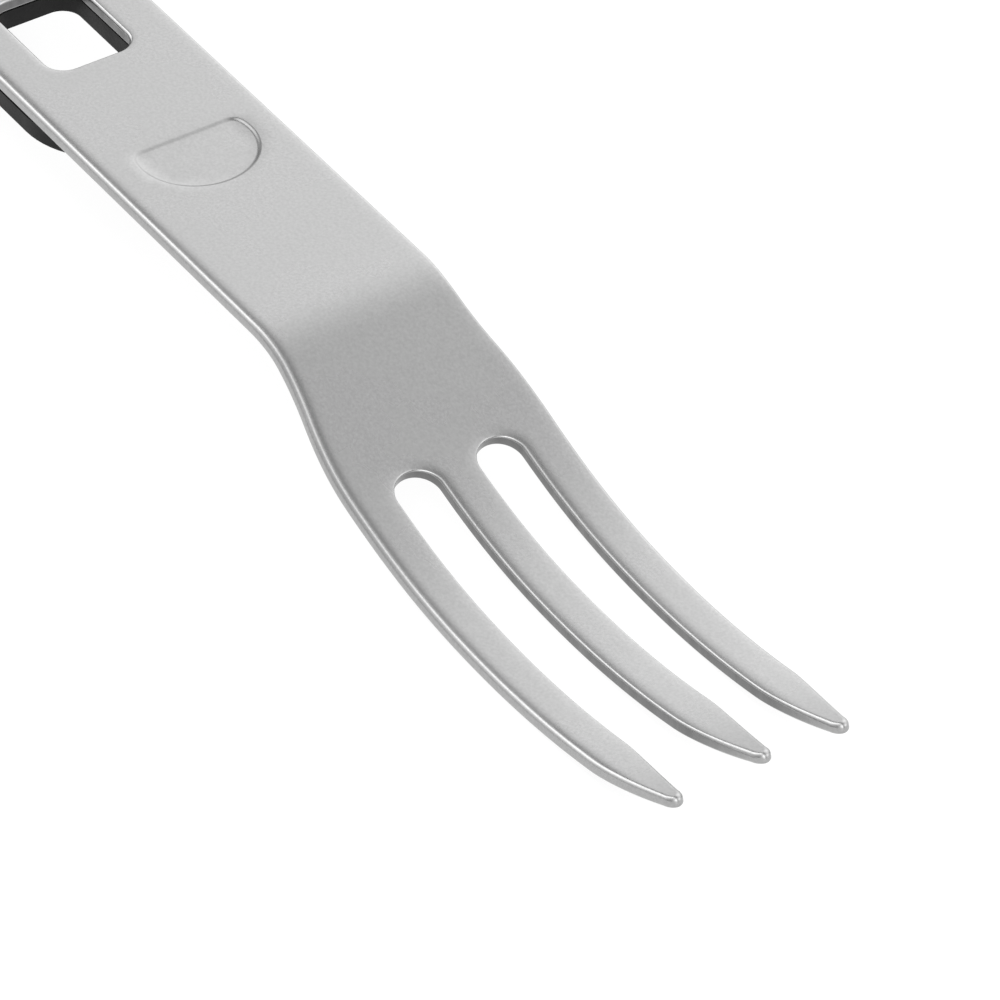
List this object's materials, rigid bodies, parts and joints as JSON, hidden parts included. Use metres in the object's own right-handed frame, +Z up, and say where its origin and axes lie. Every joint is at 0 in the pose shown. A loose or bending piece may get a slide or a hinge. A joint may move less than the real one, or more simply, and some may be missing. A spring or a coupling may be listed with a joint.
{
  "type": "picnic fork on a folding knife",
  "caption": "Flat three-tine picnic fork in matt steel that lifts off a small black-scaled folding knife with a slotted tongue.",
  "frame": {"origin": "under the middle of the whole length, on the surface the set lies on", "axes": "+X along the fork towards its tines, +Y across the handle towards the knife's closed side, +Z up, out of the fork's upper face"},
  "size_m": [0.1928, 0.021, 0.0122],
  "materials": {
    "fork_steel": "bead-blasted matt",
    "black_nylon": "fine moulded grain",
    "liner_steel": "stonewashed",
    "blade_steel": "satin ground",
    "screw_steel": "turned",
    "bronze": "plain",
    "magnet_plate": "nickel plated"
  },
  "bodies": {
    "handle": {"top_scale": "black_nylon", "bottom_scale": "black_nylon", "top_liner": "liner_steel", "bottom_liner": "liner_steel", "pivot_barrel": "screw_steel", "pivot_screw": "screw_steel", "stop_pin": "screw_steel", "detent_ball": "screw_steel", "back_spacer": "liner_steel", "top_screws": "screw_steel", "bottom_screws": "screw_steel", "upper_washer": "bronze", "lower_washer": "bronze", "front_stud": "screw_steel", "rear_stud": "screw_steel", "front_magnet": "magnet_plate", "rear_magnet": "magnet_plate"},
    "fork": {"fork": "fork_steel"},
    "blade": {"blade": "blade_steel"}
  },
  "joints": [
    {"name": "fork_lift", "type": "slide", "parent": "handle", "child": "fork", "axis": [0, 0, 1], "range_m": [0, 0.03]},
    {"name": "blade_pivot", "type": "hinge", "parent": "handle", "child": "blade", "pos_m": [-0.08742, 0, 0.0063], "axis": [0, 0, 1], "range_deg": [-180, 0]}
  ]
}
